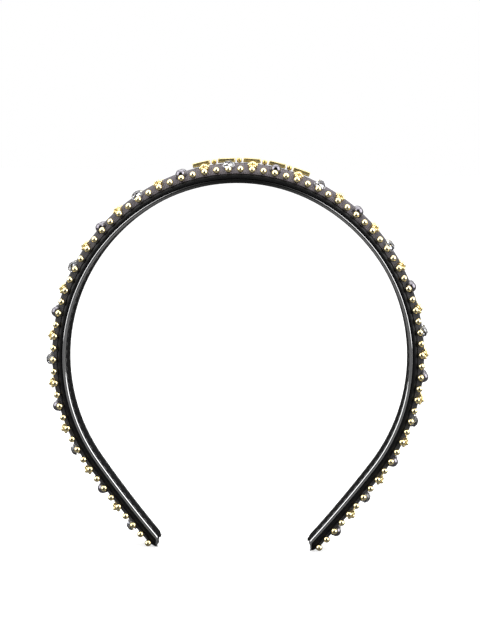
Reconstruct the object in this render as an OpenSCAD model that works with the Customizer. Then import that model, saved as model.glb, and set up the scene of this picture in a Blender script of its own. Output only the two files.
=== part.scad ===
// Padded headband: a sprung core in foam and leather, a beaded ribbon over the top and a
// ribbed lining inside. Right-handed frame in millimetres: X across the head, Y across the
// band (front is -Y), Z up. The origin is on the floor, midway between the two tips.
// "Head side" is the inner face. t is the distance outwards from the head side of the lining,
// and a turn is the angle through which the band has turned since the middle of the crown.

/* [Arch] */
// Inside radius over the top of the head
crown_r = 62; // [52:1:78]
// Turn of the crown arc on each side of the middle, in degrees
crown_a = 28; // [15:1:35]
// Inside radius at the sides of the head
side_r = 68; // [56:1:82]
// Turn of each side arc, in degrees
side_a = 98; // [84:1:104]
// Inside radius of the arms, which are almost straight
arm_r = 450; // [250:10:900]
// Length of each arm below its side arc
arm_len = 41; // [25:1:55]

/* [Band] */
// Width at the middle of the crown
crown_w = 20; // [16:0.5:26]
// Width where the tips begin to round off
tip_w = 12; // [11.5:0.5:16]
// Thickness of the foam at its edges, at the crown
crown_foam_edge = 0.2; // [0.1:0.05:1]
// Thickness of the foam at its edges, at the tips
tip_foam_edge = 0.1; // [0.1:0.05:1.5]
// Rise of the foam from its edges to its middle, at the crown
crown_rise = 4.2; // [2.6:0.1:5]
// Rise of the foam from its edges to its middle, at the tips
tip_rise = 2.0; // [0.8:0.1:3]
// Length over which each tip rounds off
tip_round = 5; // [3:0.5:8]
// Depth of the small flat that each tip stands on
tip_flat = 0.5; // [0.2:0.1:0.9]

/* [Layers] */
// Thickness of the lining ribbon
lining_t = 0.6; // [0.3:0.1:1]
// Bare leather beside the lining, on each edge
lining_margin = 1.5; // [0.8:0.1:2.5]
// Thickness of the leather
leather_t = 0.6; // [0.4:0.1:1]
// Leather turned in under the core, from each edge
turn_in = 4.5; // [3:0.1:5]
// Thickness of the sprung core
core_t = 1.0; // [0.8:0.1:1.6]
// Thickness of the bead ribbon
ribbon_t = 0.3; // [0.2:0.1:0.8]
// Clearance between one layer and the next
layer_gap = 0.05; // [0.02:0.01:0.1]

/* [Edge beads] */
// Diameter of an edge bead
bead_d = 2.5; // [2:0.1:3]
// Distance from one edge bead to the next, from the crown's middle to the right
right_bead_pitch = 4.35; // [3.8:0.01:5.5]
// The same to the left, where the beads are spaced a little wider
left_bead_pitch = 4.55; // [3.8:0.01:5.5]
// Distance from the band's edge to where an edge bead sits, at the crown
crown_bead_inset = 1.1; // [0.6:0.1:1.4]
// The same at the tips
tip_bead_inset = 0.3; // [0.2:0.1:0.8]
// Diameter of the hole through an edge bead
bead_hole_d = 0.8; // [0.5:0.1:1]
// Diameter of the sewing thread in that hole
thread_d = 0.6; // [0.3:0.1:0.7]

/* [Ornaments] */
// Diameter of a dark stone and of a crystal
stone_d = 4.0; // [3.4:0.1:4.2]
// Height of a stone's centre above the ribbon
stone_lift = 0.6; // [0.5:0.1:1]
// Space across the band between an edge bead and the ornament behind it
ornament_gap = 0.25; // [0.2:0.05:0.5]
// Wall of the metal cup round a stone
cup_wall = 0.2; // [0.15:0.05:0.3]
// Height of the cup
cup_h = 0.7; // [0.5:0.1:1]
// Number of petals on a rosette
petals = 6; // [5:1:7]
// Diameter of a petal
petal_d = 1.3; // [1:0.1:1.4]
// Diameter of a rosette's centre
centre_d = 1.6; // [1.2:0.1:1.8]
// Thickness of a rosette's back plate
back_t = 0.3; // [0.2:0.1:0.5]

/* [Crown plates] */
// Number of plates in the middle of the crown
plates = 5; // [3:2:7]
// Length of a plate
plate_l = 6.6; // [5:0.1:8]
// Width of a plate
plate_w = 4.4; // [3.6:0.1:6]
// Thickness of a plate and of the studs between plates
plate_t = 1.7; // [0.8:0.1:2]
// Bevel at a plate's ends
plate_bevel = 0.4; // [0.2:0.1:0.6]
// Diameter of a stud
stud_d = 1.8; // [1.4:0.1:2.4]
// Space between a plate and a stud
plate_gap = 0.6; // [0.4:0.1:1.2]
// How far the row of plates sits to one side of the middle
plate_shift = 4; // [0:0.5:6]
// Diameter of a plate's post
post_d = 0.8; // [0.6:0.1:1]
// Diameter of the washer that holds a post
washer_d = 2.4; // [2:0.1:3]
// Thickness of a washer
washer_t = 0.3; // [0.2:0.1:0.5]

/* [Stitches] */
// Distance from one lining stitch to the next
stitch_pitch = 3.2; // [2.5:0.1:5]
// Length of a lining stitch
stitch_l = 2.0; // [1.2:0.1:2.4]
// Width and height of a lining stitch
stitch_d = 0.3; // [0.2:0.05:0.4]

/* [Hidden] */

front = -1;
back = 1;
ring_step = 5.4;
tip_rings = 4;
corner_r = 0.9;
taper_power = 1.3;
tip_squeeze = 0.55;
tip_fold_l = 3;
inner_end_gap = tip_fold_l + 0.4;
lining_end_gap = 2.6;
ribbon_end_gap = 2.4;
ribbon_edge = 0.4;
bead_end_gap = 1.4 * bead_d;
bead_seat_gap = 0.05;
post_gap = 0.04;
pocket_gap = 0.15;
post_reach = 1.2;
stitch_inset = 0.7;
stitch_gap = 0.07;
far = 50;

// ---- Arch: where the band runs ----

side_end = crown_a + side_a;
half_len = (crown_r * crown_a + side_r * side_a) * PI / 180 + arm_len;

// Outward direction in X and Z at a turn
function outward(turn) = [sin(turn), cos(turn)];

crown_centre = [0, -crown_r];
side_centre = crown_centre + (crown_r - side_r) * outward(crown_a);
arm_centre = side_centre + (side_r - arm_r) * outward(side_end);

function pick(turn, crown, side, arm) =
    abs(turn) <= crown_a ? crown : abs(turn) <= side_end ? side : arm;
function arc_r(turn) = pick(turn, crown_r, side_r, arm_r);
function arc_centre(turn) =
    let (c = pick(turn, crown_centre, side_centre, arm_centre)) [sign(turn) * c[0], c[1]];

// Turn reached after a distance along the line that lies t outwards
function turn_at(distance, t = 0) =
    let (d = abs(distance))
    let (crown_l = (crown_r + t) * crown_a * PI / 180)
    let (side_l = (side_r + t) * side_a * PI / 180)
    sign(distance) * (
        d <= crown_l ? d / (crown_r + t) * 180 / PI :
        d <= crown_l + side_l ? crown_a + (d - crown_l) / (side_r + t) * 180 / PI :
        side_end + (d - crown_l - side_l) / (arm_r + t) * 180 / PI
    );

// Distance along the line that lies t outwards, from the crown to a turn
function distance_at(turn, t = 0) =
    let (a = abs(turn))
    PI / 180 * (
        (crown_r + t) * min(a, crown_a)
        + (side_r + t) * max(0, min(a, side_end) - crown_a)
        + (arm_r + t) * max(0, a - side_end)
    );

// A point of the band before the arch is stood on the floor
function hung_point(turn, y, t) =
    let (c = arc_centre(turn))
    let (r = arc_r(turn) + t)
    [c[0] + r * sin(turn), y, c[1] + r * cos(turn)];

// ---- Cross-section: how wide and how thick the band is ----

core_under = lining_t + leather_t + layer_gap;
foam_under = core_under + core_t + layer_gap;

function blend(turn, crown, tip) = crown + (tip - crown) * distance_at(turn) / half_len;

// Rounding of a layer that stops end_gap short of the tip: 1 along the band, less at its end
function round_off(turn, end_gap = 0) =
    let (to_end = max(0, half_len - end_gap - distance_at(turn)))
    let (into = max(0, 1 - to_end / tip_round))
    sqrt(1 - tip_squeeze * into * into);

function half_w(turn) =
    let (share = pow(distance_at(turn) / half_len, taper_power))
    (crown_w + (tip_w - crown_w) * share) / 2 * round_off(turn);
function wall_h(turn) =
    (foam_under + blend(turn, crown_foam_edge, tip_foam_edge) + layer_gap + leather_t)
    * round_off(turn);
function rise_h(turn) = blend(turn, crown_rise, tip_rise) * round_off(turn);

// Height of the leather and of the ribbon on it at y, and their slope there in degrees
function leather_top(turn, y) =
    wall_h(turn) + rise_h(turn) * (1 - pow(y / half_w(turn), 2));
function ribbon_top(turn, y) = leather_top(turn, y) + layer_gap + ribbon_t;
function slope_at(turn, y) = atan(2 * rise_h(turn) * y / pow(half_w(turn), 2));

// Points across the dome, as shares of the half width
dome_shares = [-1, -0.72, -0.38, 0, 0.38, 0.72, 1];

// The dome drawn in by inset from the outside of the leather
function dome(turn, inset, narrow = 1) = [
    for (k = dome_shares)
        [k * (half_w(turn) - inset) * narrow, leather_top(turn, k * half_w(turn)) - inset]
];

function reversed(list) = [for (i = [len(list) - 1:-1:0]) list[i]];
function mirrored(points) = [for (p = reversed(points)) [-p[0], p[1]]];

// Both rounded lower corners of the leather, without and with what is turned in beyond them
function lower_corner(turn) =
    let (h = half_w(turn))
    let (c = corner_r * (1 - cos(45)))
    [[-(h - corner_r), lining_t], [-(h - c), lining_t + c], [-h, lining_t + corner_r]];
function leather_outside(turn) =
    concat(lower_corner(turn), dome(turn, 0), mirrored(lower_corner(turn)));

// ---- Standing the arch on the floor ----

function end_distance(i, end_gap) =
    half_len - end_gap - tip_round + tip_round * sin(90 * i / tip_rings);
lowest = min([
    for (i = [0:tip_rings])
        let (turn = turn_at(end_distance(i, 0)))
        for (p = leather_outside(turn)) hung_point(turn, p[0], p[1])[2]
]);
lift = -lowest - tip_flat;

function band_point(turn, y, t) = hung_point(turn, y, t) + [0, 0, lift];

// ---- Sweeps along the band ----

// Turns of the rings of a layer that stops end_gap short of both tips
function ring_turns(end_gap) =
    let (straight = half_len - end_gap - tip_round)
    let (steps = ceil(straight / ring_step))
    let (body = [for (i = [1:steps]) turn_at(straight * i / steps)])
    let (tip = [for (i = [1:tip_rings]) turn_at(end_distance(i, end_gap))])
    let (half = concat(body, tip))
    concat([for (turn = reversed(half)) -turn], [0], half);

// Joins rings of points into a solid. Each ring is a list of [y, t] points at one turn.
module sweep(turns, rings) {
    n = len(rings[0]);
    last = len(rings) - 1;
    points = [for (i = [0:last]) for (p = rings[i]) band_point(turns[i], p[0], p[1])];
    sides = [
        for (i = [0:last - 1]) for (j = [0:n - 1])
            let (a = i * n + j)
            let (b = i * n + (j + 1) % n)
            each [[a, b + n, a + n], [a, b, b + n]]
    ];
    caps = [[for (j = [n - 1:-1:0]) j], [for (j = [0:n - 1]) last * n + j]];
    polyhedron(points, concat(sides, caps));
}

// Sets children on the band at a turn: their X runs along the band and their Z outwards
module on_band(turn, y, t) {
    translate(band_point(turn, y, t)) rotate([0, turn, 0]) children();
}

// ---- Core, foam, leather, ribbon and lining ----

module spring_core() {
    turns = ring_turns(inner_end_gap);
    color("dimgray") sweep(turns, [
        for (turn = turns)
            let (y = (half_w(turn) - leather_t - 2 * layer_gap) * round_off(turn, inner_end_gap))
            [[-y, core_under], [-y, core_under + core_t], [y, core_under + core_t], [y, core_under]]
    ]);
}

module foam_pad() {
    inset = leather_t + layer_gap;
    turns = ring_turns(inner_end_gap);
    color("lightgray") difference() {
        sweep(turns, [
            for (turn = turns)
                let (narrow = round_off(turn, inner_end_gap))
                let (y = (half_w(turn) - inset) * narrow)
                concat([[-y, foam_under]], dome(turn, inset, narrow), [[y, foam_under]])
        ]);
        for (turn = post_turns) {
            under = leather_top(turn, 0) - leather_t - pocket_depth;
            on_band(turn, 0, under) cylinder(d = washer_d + 2 * pocket_gap, h = far, $fn = 32);
        }
    }
}

// The leather goes over the foam, down both sides and in under the core
module leather_wrap() {
    inset = leather_t;
    under_in = lining_t + leather_t;
    turns = ring_turns(tip_fold_l);
    color([0.1, 0.1, 0.11]) difference() {
        sweep(turns, [
            for (turn = turns)
                let (h = half_w(turn))
                let (free = h - turn_in)
                let (inner = concat([[-free, under_in], [-(h - inset), under_in]], dome(turn, inset)))
                concat(
                    [[-free, lining_t]], leather_outside(turn), [[free, lining_t]],
                    [[free, under_in], [h - inset, under_in]], reversed(dome(turn, inset)),
                    [[-(h - inset), under_in], [-free, under_in]]
                )
        ]);
        post_holes();
    }
}

// The end of the leather, folded over the end of the core and pressed into a small flat
module tip_fold(side) {
    turns = [for (i = [0:tip_rings])
        side * turn_at(half_len - tip_fold_l + layer_gap + (tip_fold_l - layer_gap) * sin(90 * i / tip_rings))];
    ordered = side > 0 ? turns : reversed(turns);
    difference() {
        sweep(ordered, [for (turn = ordered) leather_outside(turn)]);
        translate([-2 * far, -far, -2 * far]) cube([4 * far, 2 * far, 2 * far]);
    }
}
module left_tip_fold() { color([0.12, 0.12, 0.13]) tip_fold(-1); }
module right_tip_fold() { color([0.12, 0.12, 0.13]) tip_fold(1); }

module bead_ribbon() {
    turns = ring_turns(ribbon_end_gap);
    color([0.36, 0.33, 0.35]) difference() {
        sweep(turns, [
            for (turn = turns)
                let (narrow = round_off(turn, ribbon_end_gap))
                let (edge = (half_w(turn) - ribbon_edge) / half_w(turn) * narrow)
                let (ys = [for (k = dome_shares) k * edge * half_w(turn)])
                let (under = [for (y = ys) [y, leather_top(turn, y) + layer_gap]])
                let (over = [for (y = ys) [y, ribbon_top(turn, y)]])
                concat(over, reversed(under))
        ]);
        post_holes();
    }
}

function lining_half_w(turn) = (half_w(turn) - lining_margin) * round_off(turn, lining_end_gap);

module lining_ribbon() {
    turns = ring_turns(lining_end_gap);
    top = lining_t - layer_gap;
    color([0.22, 0.22, 0.23]) sweep(turns, [
        for (turn = turns)
            let (y = lining_half_w(turn))
            [[-y, 0], [-y, top], [y, top], [y, 0]]
    ]);
}

module lining_stitches(side) {
    reach = half_len - lining_end_gap - stitch_pitch;
    count = floor(reach / stitch_pitch);
    for (i = [-count:count]) {
        turn = turn_at(i * stitch_pitch);
        y = side * (lining_half_w(turn) - stitch_inset);
        on_band(turn, y, -stitch_d - stitch_gap)
            translate([-stitch_l / 2, -stitch_d / 2, 0]) cube([stitch_l, stitch_d, stitch_d]);
    }
}
module front_lining_stitches() { color("gray") lining_stitches(front); }
module back_lining_stitches() { color("gray") lining_stitches(back); }

// ---- Edge beads ----

bead_r = bead_d / 2;

function bead_foot(turn) = half_w(turn) - blend(turn, crown_bead_inset, tip_bead_inset);
function bead_y(turn) =
    let (foot = bead_foot(turn))
    foot + (bead_r + bead_seat_gap) * sin(slope_at(turn, foot));
function bead_t(turn) =
    let (foot = bead_foot(turn))
    ribbon_top(turn, foot) + (bead_r + bead_seat_gap) * cos(slope_at(turn, foot));

// Both pitches are measured along the line through the beads. Place 0 is the crown's middle,
// and places to its left are negative.
bead_line_t = bead_t(0);
bead_line_l = distance_at(turn_at(half_len), bead_line_t);
first_bead = -floor((bead_line_l - bead_end_gap) / left_bead_pitch);
last_bead = floor((bead_line_l - bead_end_gap) / right_bead_pitch);

function bead_turn(i) = turn_at(i * (i < 0 ? left_bead_pitch : right_bead_pitch), bead_line_t);

module edge_beads(side) {
    for (i = [first_bead:last_bead]) {
        turn = bead_turn(i);
        on_band(turn, side * bead_y(turn), bead_t(turn)) difference() {
            sphere(d = bead_d, $fn = 32);
            rotate([90, 0, 0]) cylinder(d = bead_hole_d, h = 2 * bead_d, center = true, $fn = 24);
        }
    }
}
module front_edge_beads() { color([0.83, 0.7, 0.38]) edge_beads(front); }
module back_edge_beads() { color([0.83, 0.7, 0.38]) edge_beads(back); }

module bead_threads(side) {
    thread_l = 0.9 * bead_d;
    for (i = [first_bead:last_bead]) {
        turn = bead_turn(i);
        on_band(turn, side * bead_y(turn), bead_t(turn))
            rotate([90, 0, 0]) cylinder(d = thread_d, h = thread_l, center = true, $fn = 16);
    }
}
module front_bead_threads() { color([0.15, 0.15, 0.16]) bead_threads(front); }
module back_bead_threads() { color([0.15, 0.15, 0.16]) bead_threads(back); }

// ---- Ornaments: one behind every second edge bead ----

stone_r = stone_d / 2;
cup_r = stone_r + cup_wall;

// The kinds come in a running order of eight beads: rosette, dark stone, rosette, crystal
function in_eight(i) = ((i % 8) + 8) % 8;
dark_places = [for (i = [first_bead:last_bead]) if (ornament_here(i) && in_eight(i) == 3) i];
crystal_places = [for (i = [first_bead:last_bead]) if (ornament_here(i) && in_eight(i) == 7) i];
rosette_places = [for (i = [first_bead:last_bead]) if (ornament_here(i) && in_eight(i) % 4 == 1) i];
function ornament_here(i) = i >= first_bead + 2 && i <= last_bead - 2 && abs(i) % 2 == 1;

// Sets children on the ribbon, square to its surface, behind the edge bead at place i
module behind_bead(side, i) {
    turn = bead_turn(i);
    centre_y = bead_y(turn) - bead_r - stone_r - ornament_gap;
    slope = slope_at(turn, centre_y);
    y = centre_y - stone_lift * sin(slope);
    on_band(turn, side * y, ribbon_top(turn, y) + bead_seat_gap)
        rotate([-side * slope, 0, 0]) children();
}

module above(z) {
    intersection() {
        children();
        translate([-far, -far, z]) cube([2 * far, 2 * far, far]);
    }
}

module dark_stones(side) {
    for (i = dark_places) {
        behind_bead(side, i) above(layer_gap) translate([0, 0, stone_lift]) sphere(d = stone_d, $fn = 48);
    }
}
module front_dark_stones() { color([0.17, 0.16, 0.18]) dark_stones(front); }
module back_dark_stones() { color([0.17, 0.16, 0.18]) dark_stones(back); }

// A ring that grips the lower part of a round stone
module dark_cups(side) {
    for (i = dark_places) {
        behind_bead(side, i) difference() {
            cylinder(r = cup_r, h = cup_h, $fn = 48);
            translate([0, 0, stone_lift]) sphere(r = stone_r + post_gap, $fn = 48);
        }
    }
}
module front_dark_cups() { color([0.3, 0.29, 0.3]) dark_cups(front); }
module back_dark_cups() { color([0.3, 0.29, 0.3]) dark_cups(back); }

// A crystal is two eight-sided cones, base to base, lying along the band
module crystals(side) {
    point_r = 0.25;
    half_l = stone_r - layer_gap;
    outline = [[0, -half_l], [point_r, -half_l], [stone_r, 0], [point_r, half_l], [0, half_l]];
    for (i = crystal_places) {
        behind_bead(side, i) above(layer_gap) translate([0, 0, stone_lift]) rotate([0, 90, 0])
            rotate([0, 0, 22.5]) rotate_extrude($fn = 8) polygon(outline);
    }
}
module front_crystals() { color([0.85, 0.86, 0.9]) crystals(front); }
module back_crystals() { color([0.85, 0.86, 0.9]) crystals(back); }

module crystal_cups(side) {
    for (i = crystal_places) {
        behind_bead(side, i) difference() {
            cylinder(r = cup_r, h = cup_h, $fn = 48);
            translate([0, 0, -1]) cylinder(r = stone_r + post_gap, h = cup_h + 2, $fn = 48);
        }
    }
}
module front_crystal_cups() { color("silver") crystal_cups(front); }
module back_crystal_cups() { color("silver") crystal_cups(back); }

petal_ring_r = petal_d / 2 / sin(180 / petals) + layer_gap / 2;
petal_z = back_t + layer_gap + petal_d / 2;
centre_touch = (petal_d + centre_d) / 2 + layer_gap;
centre_z = petal_z + sqrt(max(0, pow(centre_touch, 2) - pow(petal_ring_r, 2)));

module rosette_backs(side) {
    for (i = rosette_places) {
        behind_bead(side, i) cylinder(r = petal_ring_r + petal_d / 4, h = back_t, $fn = 32);
    }
}
module front_rosette_backs() { color([0.76, 0.62, 0.32]) rosette_backs(front); }
module back_rosette_backs() { color([0.76, 0.62, 0.32]) rosette_backs(back); }

module rosette_petals(side) {
    for (i = rosette_places) {
        behind_bead(side, i) for (k = [0:petals - 1]) {
            rotate([0, 0, k * 360 / petals]) translate([petal_ring_r, 0, petal_z])
                sphere(d = petal_d, $fn = 24);
        }
    }
}
module front_rosette_petals() { color([0.83, 0.7, 0.38]) rosette_petals(front); }
module back_rosette_petals() { color([0.83, 0.7, 0.38]) rosette_petals(back); }

module rosette_centres(side) {
    for (i = rosette_places) {
        behind_bead(side, i) translate([0, 0, centre_z]) sphere(d = centre_d, $fn = 24);
    }
}
module front_rosette_centres() { color([0.87, 0.75, 0.45]) rosette_centres(front); }
module back_rosette_centres() { color([0.87, 0.75, 0.45]) rosette_centres(back); }

// ---- Plates and studs along the middle of the crown ----

plate_pitch = plate_l + stud_d + 2 * plate_gap;
plate_lift = 0.15;
plate_line_t = ribbon_top(0, 0) + plate_lift;
pocket_depth = post_reach + pocket_gap;

function plate_turn(place) = turn_at(plate_shift + place * plate_pitch, plate_line_t);

plate_places = [for (i = [0:plates - 1]) i - (plates - 1) / 2];
stud_places = [for (i = [0:plates - 2]) i - plates / 2 + 1];
post_turns = [for (place = concat(plate_places, stud_places)) plate_turn(place)];

module on_crown(turn, lift_t = 0) {
    on_band(turn, 0, ribbon_top(turn, 0) + lift_t) children();
}

module post_holes() {
    for (turn = post_turns) {
        on_crown(turn) cylinder(d = post_d + 2 * post_gap, h = far, center = true, $fn = 24);
    }
}

module crown_plates() {
    half = plate_l / 2;
    shoulder = plate_t - plate_bevel;
    outline = [
        [-half, 0], [half, 0], [half, shoulder], [half - plate_bevel, plate_t],
        [plate_bevel - half, plate_t], [-half, shoulder]
    ];
    color([0.85, 0.72, 0.4]) for (place = plate_places) {
        on_crown(plate_turn(place), plate_lift) rotate([90, 0, 0])
            linear_extrude(height = plate_w, center = true) polygon(outline);
    }
}

module crown_studs() {
    color([0.85, 0.72, 0.4]) for (place = stud_places) {
        on_crown(plate_turn(place), plate_lift) cylinder(d = stud_d, h = plate_t, $fn = 32);
    }
}

// Each post stands under its plate or stud and reaches down through the ribbon and leather
module plate_posts() {
    post_l = plate_lift + ribbon_t + layer_gap + leather_t + post_reach;
    color([0.76, 0.62, 0.32]) for (turn = post_turns) {
        on_crown(turn, plate_lift - post_l) cylinder(d = post_d, h = post_l, $fn = 24);
    }
}

// How far the underside of the leather falls from its middle to the rim of a washer
function washer_fall(turn) =
    dome_shares[4] * rise_h(turn) * washer_d / 2 / (half_w(turn) - leather_t);

// Each washer grips its post just under the leather
module post_washers() {
    color("silver") for (turn = post_turns) {
        under = leather_top(turn, 0) - leather_t - washer_fall(turn) - layer_gap - washer_t;
        on_band(turn, 0, under) difference() {
            cylinder(d = washer_d, h = washer_t, $fn = 32);
            translate([0, 0, -1]) cylinder(d = post_d + 2 * post_gap, h = washer_t + 2, $fn = 24);
        }
    }
}

spring_core();
foam_pad();
leather_wrap();
left_tip_fold();
right_tip_fold();
bead_ribbon();
lining_ribbon();
front_lining_stitches();
back_lining_stitches();
front_edge_beads();
back_edge_beads();
front_bead_threads();
back_bead_threads();
front_dark_stones();
back_dark_stones();
front_dark_cups();
back_dark_cups();
front_crystals();
back_crystals();
front_crystal_cups();
back_crystal_cups();
front_rosette_backs();
back_rosette_backs();
front_rosette_petals();
back_rosette_petals();
front_rosette_centres();
back_rosette_centres();
crown_plates();
crown_studs();
plate_posts();
post_washers();
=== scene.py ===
"""Looks of the padded headband: leather cover, ribbons, thread, beads, stones and gilt plates."""

import math

import bpy
from mathutils import Matrix, Vector, noise


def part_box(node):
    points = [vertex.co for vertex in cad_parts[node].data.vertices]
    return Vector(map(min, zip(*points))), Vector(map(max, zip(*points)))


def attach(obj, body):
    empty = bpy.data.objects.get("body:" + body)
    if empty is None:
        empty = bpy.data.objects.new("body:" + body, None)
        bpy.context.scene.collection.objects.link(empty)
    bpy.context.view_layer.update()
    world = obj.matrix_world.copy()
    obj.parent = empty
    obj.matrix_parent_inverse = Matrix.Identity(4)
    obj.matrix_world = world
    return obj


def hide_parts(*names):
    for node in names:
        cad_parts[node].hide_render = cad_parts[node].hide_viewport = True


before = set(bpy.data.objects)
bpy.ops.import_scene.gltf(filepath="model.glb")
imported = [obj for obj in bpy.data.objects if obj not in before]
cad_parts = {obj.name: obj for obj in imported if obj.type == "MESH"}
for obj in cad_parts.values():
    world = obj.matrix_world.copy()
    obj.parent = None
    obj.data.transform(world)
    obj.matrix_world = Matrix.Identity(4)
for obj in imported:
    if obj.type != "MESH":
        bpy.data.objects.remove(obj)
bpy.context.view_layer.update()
bpy.ops.object.select_all(action="DESELECT")

MM = 0.001
FRONT, BACK = -1, 1

# ---- Where the band runs, in millimetres and degrees, as in the part ----

CROWN_R, CROWN_A = 62.0, 28.0
SIDE_R, SIDE_A = 68.0, 98.0
ARM_R, ARM_LEN = 450.0, 41.0
CROWN_W, TIP_W = 20.0, 12.0
CROWN_FOAM_EDGE, TIP_FOAM_EDGE = 0.2, 0.1
CROWN_RISE, TIP_RISE = 4.2, 2.0
TIP_ROUND, TIP_SQUEEZE = 5.0, 0.55
TAPER_POWER = 1.3
LINING_T, LINING_MARGIN, LINING_END_GAP = 0.6, 1.5, 2.6
LEATHER_T, TURN_IN = 0.6, 4.5
FOAM_UNDER = 2.3
LAYER_GAP = 0.05
RIBBON_T, RIBBON_EDGE, RIBBON_END_GAP = 0.3, 0.4, 2.4
BEAD_D, SEAT_GAP = 2.5, 0.05
LEFT_BEAD_PITCH, RIGHT_BEAD_PITCH = 4.55, 4.35
CROWN_BEAD_INSET, TIP_BEAD_INSET = 1.1, 0.3
FIRST_BEAD, LAST_BEAD = -43, 45
STONE_D, STONE_LIFT, ORNAMENT_GAP = 4.0, 0.6, 0.25
PLATES, PLATE_L, PLATE_W, PLATE_T = 5, 6.6, 4.4, 1.7
STUD_D, PLATE_GAP, PLATE_SHIFT, PLATE_LIFT = 1.8, 0.6, 4.0, 0.15
STITCH_PITCH, STITCH_L, STITCH_D, STITCH_INSET = 3.2, 2.0, 0.3, 0.7

SIDE_END = CROWN_A + SIDE_A
HALF_LEN = math.radians(CROWN_R * CROWN_A + SIDE_R * SIDE_A) + ARM_LEN


def outward(turn):
    """Outward direction in X and Z at a turn."""
    return Vector((math.sin(math.radians(turn)), math.cos(math.radians(turn))))


CROWN_CENTRE = Vector((0, -CROWN_R))
SIDE_CENTRE = CROWN_CENTRE + (CROWN_R - SIDE_R) * outward(CROWN_A)
ARM_CENTRE = SIDE_CENTRE + (SIDE_R - ARM_R) * outward(SIDE_END)


def turn_at(distance, t=0.0):
    """Turn reached after a distance from the crown, along the line that lies t outwards."""
    d = abs(distance)
    crown_l = (CROWN_R + t) * math.radians(CROWN_A)
    side_l = (SIDE_R + t) * math.radians(SIDE_A)
    if d <= crown_l:
        turn = math.degrees(d / (CROWN_R + t))
    elif d <= crown_l + side_l:
        turn = CROWN_A + math.degrees((d - crown_l) / (SIDE_R + t))
    else:
        turn = SIDE_END + math.degrees((d - crown_l - side_l) / (ARM_R + t))
    return math.copysign(turn, distance)


def distance_at(turn):
    """Distance from the crown to a turn, along the head side of the lining."""
    a = abs(turn)
    arcs = CROWN_R * min(a, CROWN_A) + SIDE_R * max(0, min(a, SIDE_END) - CROWN_A)
    return math.radians(arcs + ARM_R * max(0, a - SIDE_END))


def rounding(turn, end_gap=0.0):
    """1 along the band, and less where a layer that stops end_gap short of the tip rounds off."""
    into = max(0.0, 1 - max(0.0, HALF_LEN - end_gap - distance_at(turn)) / TIP_ROUND)
    return math.sqrt(1 - TIP_SQUEEZE * min(1.0, into) ** 2)


def tapered(turn, crown, tip):
    return crown + (tip - crown) * distance_at(turn) / HALF_LEN


def half_width(turn):
    share = min(1.0, distance_at(turn) / HALF_LEN) ** TAPER_POWER
    return (CROWN_W + (TIP_W - CROWN_W) * share) / 2 * rounding(turn)


def wall_height(turn):
    foam = tapered(turn, CROWN_FOAM_EDGE, TIP_FOAM_EDGE)
    return (FOAM_UNDER + foam + LAYER_GAP + LEATHER_T) * rounding(turn)


def rise(turn):
    return tapered(turn, CROWN_RISE, TIP_RISE) * rounding(turn)


def leather_top(turn, y):
    return wall_height(turn) + rise(turn) * (1 - (y / half_width(turn)) ** 2)


def ribbon_top(turn, y):
    return leather_top(turn, y) + LAYER_GAP + RIBBON_T


def slope_at(turn, y):
    """Fall of the dome towards the band's edge, in degrees."""
    return math.degrees(math.atan(2 * rise(turn) * y / half_width(turn) ** 2))


def hung(turn, y, t):
    """A point of the band before it is stood on the floor."""
    a = abs(turn)
    centre, r = (
        (CROWN_CENTRE, CROWN_R) if a <= CROWN_A
        else (SIDE_CENTRE, SIDE_R) if a <= SIDE_END
        else (ARM_CENTRE, ARM_R)
    )
    x, z = outward(turn) * (r + t)
    return Vector((math.copysign(1, turn) * centre[0] + x, y, centre[1] + z))


# The lining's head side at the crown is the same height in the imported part
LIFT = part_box("lining_ribbon")[1].z / MM - LINING_T + LAYER_GAP


def on_band(turn, y, t):
    """A point of the band in the part's frame, in metres."""
    return (hung(turn, y, t) + Vector((0, 0, LIFT))) * MM


def seat(turn, y, t, slope=0.0):
    """The place of a small part: its X along the band, its Z outwards, leaning over by slope."""
    place = Matrix.Translation(on_band(turn, y, t))
    turned = Matrix.Rotation(math.radians(turn), 4, "Y")
    leaning = Matrix.Rotation(math.radians(-slope), 4, "X")
    return place @ turned @ leaning @ Matrix.Scale(MM, 4)


def bead_line(turn):
    """Where an edge bead sits: how far across, and how far out."""
    foot = half_width(turn) - tapered(turn, CROWN_BEAD_INSET, TIP_BEAD_INSET)
    lean = math.radians(slope_at(turn, foot))
    reach = BEAD_D / 2 + SEAT_GAP
    return foot + reach * math.sin(lean), ribbon_top(turn, foot) + reach * math.cos(lean)


BEAD_LINE_T = bead_line(0.0)[1]


def bead_turn(place):
    return turn_at(place * (LEFT_BEAD_PITCH if place < 0 else RIGHT_BEAD_PITCH), BEAD_LINE_T)


def behind_bead(side, place):
    """The seat of the ornament behind an edge bead, square to the ribbon."""
    turn = bead_turn(place)
    centre_y = bead_line(turn)[0] - BEAD_D / 2 - STONE_D / 2 - ORNAMENT_GAP
    lean = slope_at(turn, centre_y)
    y = centre_y - STONE_LIFT * math.sin(math.radians(lean))
    return seat(turn, side * y, ribbon_top(turn, y) + SEAT_GAP, side * lean)


# ---- Hand work ----


def deselect():
    if bpy.context.mode != "OBJECT":
        bpy.ops.object.mode_set(mode="OBJECT")
    bpy.ops.object.select_all(action="DESELECT")


def named(name):
    """The object just made, under its own name."""
    made = bpy.context.object
    made.name = made.data.name = name
    return made


def edit(piece, *work):
    """Runs edit-mode work on all of a piece."""
    deselect()
    bpy.context.view_layer.objects.active = piece
    piece.select_set(True)
    bpy.ops.object.mode_set(mode="EDIT")
    bpy.ops.mesh.select_all(action="SELECT")
    for step in work:
        step()
    bpy.ops.object.mode_set(mode="OBJECT")


def outsides_out():
    bpy.ops.mesh.normals_make_consistent(inside=False)


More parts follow.
